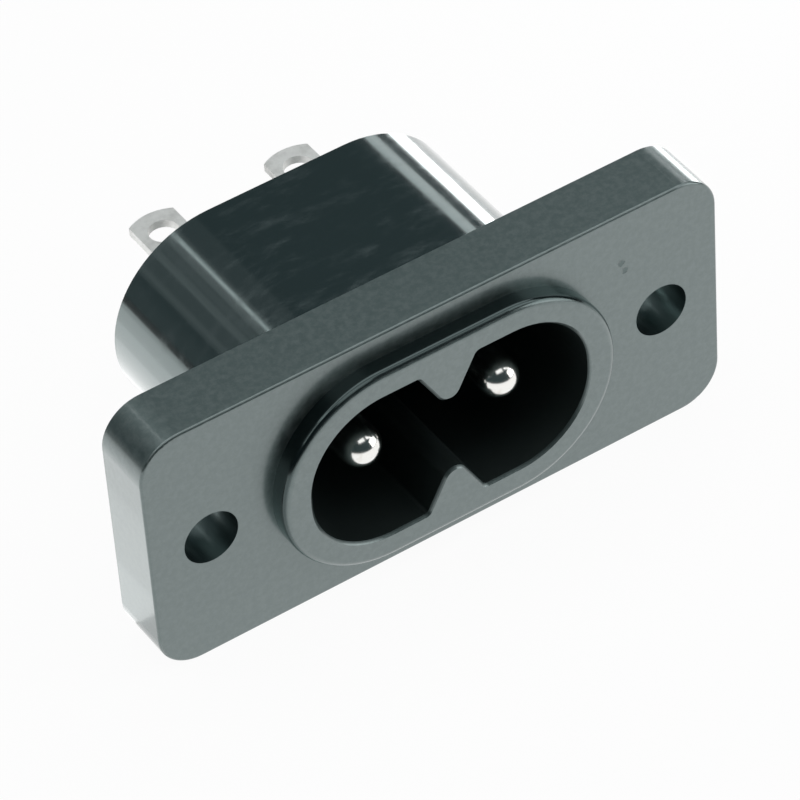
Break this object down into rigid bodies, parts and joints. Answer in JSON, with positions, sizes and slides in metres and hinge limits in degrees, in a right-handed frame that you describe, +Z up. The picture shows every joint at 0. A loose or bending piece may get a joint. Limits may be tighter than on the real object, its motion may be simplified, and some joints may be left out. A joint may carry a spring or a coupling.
{
  "type": "figure eight power connector",
  "caption": "Black moulded figure eight mains inlet with a screw flange, raised obround collar, domed contact pins in a waisted recess, and flat solder tags behind its body.",
  "frame": {"origin": "centre of the two screw holes, on the front face of the flange", "axes": "+X along the flange through both screw holes, -Y out of the recess towards the plug, +Z up across the flange"},
  "size_m": [0.0354, 0.0228, 0.0158],
  "materials": {
    "black_plastic": "fine matt moulded face, smoother on the rear body",
    "plated_pin": "polished nickel plate",
    "tinned_strip": "dull tinned strip with stamped edges"
  },
  "bodies": {
    "root": {"housing": "black_plastic", "contact_pin_left": "plated_pin", "contact_pin_right": "plated_pin", "solder_tag_left": "tinned_strip", "solder_tag_right": "tinned_strip"}
  },
  "joints": []
}
